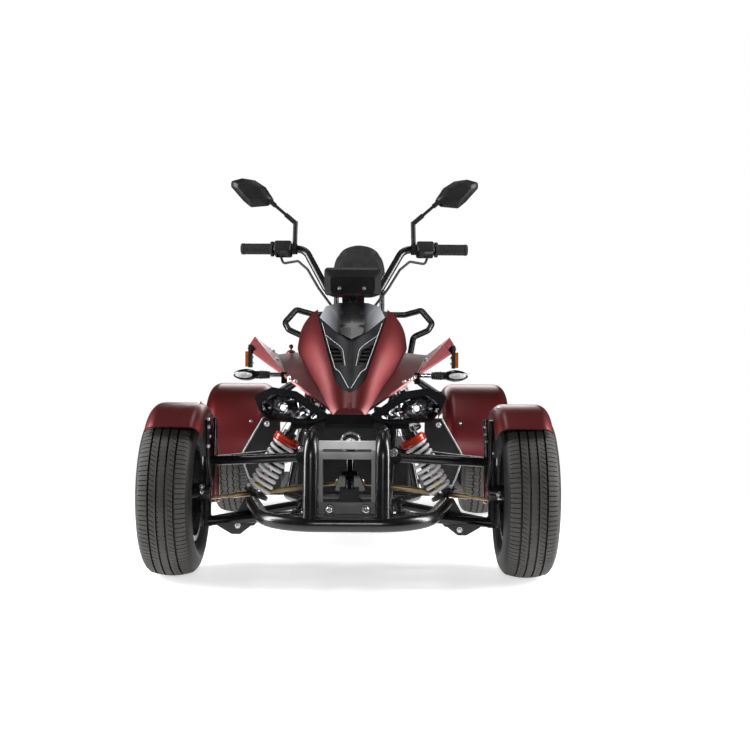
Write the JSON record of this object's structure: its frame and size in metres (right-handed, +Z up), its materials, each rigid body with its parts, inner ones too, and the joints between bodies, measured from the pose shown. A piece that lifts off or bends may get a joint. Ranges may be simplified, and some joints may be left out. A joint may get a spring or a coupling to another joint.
{
  "type": "electric quad bike",
  "caption": "Four-wheeled straddle-seat electric bike with wishbone front axle, handlebar steering, cycle fenders and a moulded nose.",
  "frame": {"origin": "on the ground, in the middle of the length and width", "axes": "+Z up, nose towards -Y, +X on the rider's left"},
  "size_m": [1.144, 1.874, 1.1769],
  "materials": {
    "black_tube": "satin black powder coat",
    "grey_plate": "light grey painted steel plate",
    "damper": "black damper bodies with a red collar",
    "spring": "light grey coil springs",
    "red_body": "dark red metallic body panels",
    "insert": "dark grey satin insert",
    "black_plastic": "moulded black plastic",
    "gloss_black": "gloss black",
    "clear_lens": "clear lens",
    "projector": "bright reflector",
    "amber": "amber reflector",
    "red_lens": "red lens",
    "upholstery": "black coated fabric",
    "rubber": "black rubber",
    "mirror": "mirror glass",
    "cast_alloy": "cast alloy housing",
    "steel": "bright steel",
    "zinc": "yellow zinc plated steel",
    "tyre": "black tyre rubber",
    "rim": "black painted wheel"
  },
  "bodies": {
    "chassis": {"main_frame": "black_tube", "front_bumper": "black_tube", "front_bulkhead": "grey_plate", "upper_arms": "black_tube", "lower_arms": "black_tube", "dampers": "damper", "springs": "spring", "rear_fenders": "red_body", "nose_cowl": "red_body", "nose_insert": "insert", "nose_grilles": "black_plastic", "nose_hood": "gloss_black", "side_wings": "red_body", "headlamp_housings": "gloss_black", "headlamp_lenses": "clear_lens", "headlamp_projectors": "projector", "turn_signal_stalks": "black_plastic", "turn_signal_lenses": "clear_lens", "side_reflectors": "amber", "reflector_brackets": "black_plastic", "ignition_lock": "red_body", "tank_cover": "red_body", "tail_cowl": "red_body", "seat": "upholstery", "rear_rails": "black_tube", "backrest": "upholstery", "battery_box": "black_plastic", "foot_panels": "black_plastic", "brake_pedal": "black_plastic", "rear_swingarm": "black_tube", "drive_axle": "cast_alloy", "tail_lamps": "red_lens", "plate_holder": "black_plastic"},
    "steering": {"steering_stem": "black_tube", "handlebar": "black_tube", "grips": "rubber", "switch_housings": "black_plastic", "mirrors": "black_plastic", "mirror_glasses": "mirror", "display": "black_plastic", "control_cables": "rubber"},
    "knuckle_left": {"knuckle_left": "black_tube", "front_fender_left": "red_body"},
    "tie_rod_left": {"tie_rod_left": "zinc"},
    "knuckle_right": {"knuckle_right": "black_tube", "front_fender_right": "red_body"},
    "tie_rod_right": {"tie_rod_right": "zinc"},
    "wheel_front_left": {"tyre_front_left": "tyre", "rim_front_left": "rim", "brake_disc_left": "steel"},
    "wheel_front_right": {"tyre_front_right": "tyre", "rim_front_right": "rim", "brake_disc_right": "steel"},
    "wheel_rear_left": {"tyre_rear_left": "tyre", "rim_rear_left": "rim"},
    "wheel_rear_right": {"tyre_rear_right": "tyre", "rim_rear_right": "rim"}
  },
  "joints": [
    {"name": "steer", "type": "hinge", "parent": "chassis", "child": "steering", "pos_m": [0, -0.555, 0.3], "axis": [0, 0.5299, 0.848], "range_deg": [-35, 35]},
    {"name": "kingpin_left", "type": "hinge", "parent": "chassis", "child": "knuckle_left", "pos_m": [0.4035, -0.565, 0.232], "axis": [0, 0.1045, 0.9945], "range_deg": [-35, 35]},
    {"name": "kingpin_right", "type": "hinge", "parent": "chassis", "child": "knuckle_right", "pos_m": [-0.4035, -0.565, 0.232], "axis": [0, 0.1045, 0.9945], "range_deg": [-35, 35]},
    {"name": "tie_rod_pivot_left", "type": "hinge", "parent": "steering", "child": "tie_rod_left", "pos_m": [0.03, -0.50836, 0.24255], "axis": [0, 0.5299, 0.848], "range_deg": [-37, 37]},
    {"name": "tie_rod_pivot_right", "type": "hinge", "parent": "steering", "child": "tie_rod_right", "pos_m": [-0.03, -0.50836, 0.24255], "axis": [0, 0.5299, 0.848], "range_deg": [-37, 37]},
    {"name": "spin_front_left", "type": "hinge", "parent": "knuckle_left", "child": "wheel_front_left", "pos_m": [0.4925, -0.565, 0.232], "axis": [1, 0, 0], "continuous": true},
    {"name": "spin_front_right", "type": "hinge", "parent": "knuckle_right", "child": "wheel_front_right", "pos_m": [-0.4925, -0.565, 0.232], "axis": [1, 0, 0], "continuous": true},
    {"name": "spin_rear_left", "type": "hinge", "parent": "chassis", "child": "wheel_rear_left", "pos_m": [0.47, 0.705, 0.232], "axis": [1, 0, 0], "continuous": true},
    {"name": "spin_rear_right", "type": "hinge", "parent": "chassis", "child": "wheel_rear_right", "pos_m": [-0.47, 0.705, 0.232], "axis": [1, 0, 0], "continuous": true}
  ],
  "couplings": [
    {"joint": "kingpin_left", "follows": "steer", "ratio": 1},
    {"joint": "kingpin_right", "follows": "steer", "ratio": 1},
    {"joint": "tie_rod_pivot_left", "follows": "steer", "ratio": -1.052},
    {"joint": "tie_rod_pivot_right", "follows": "steer", "ratio": -1.052}
  ]
}
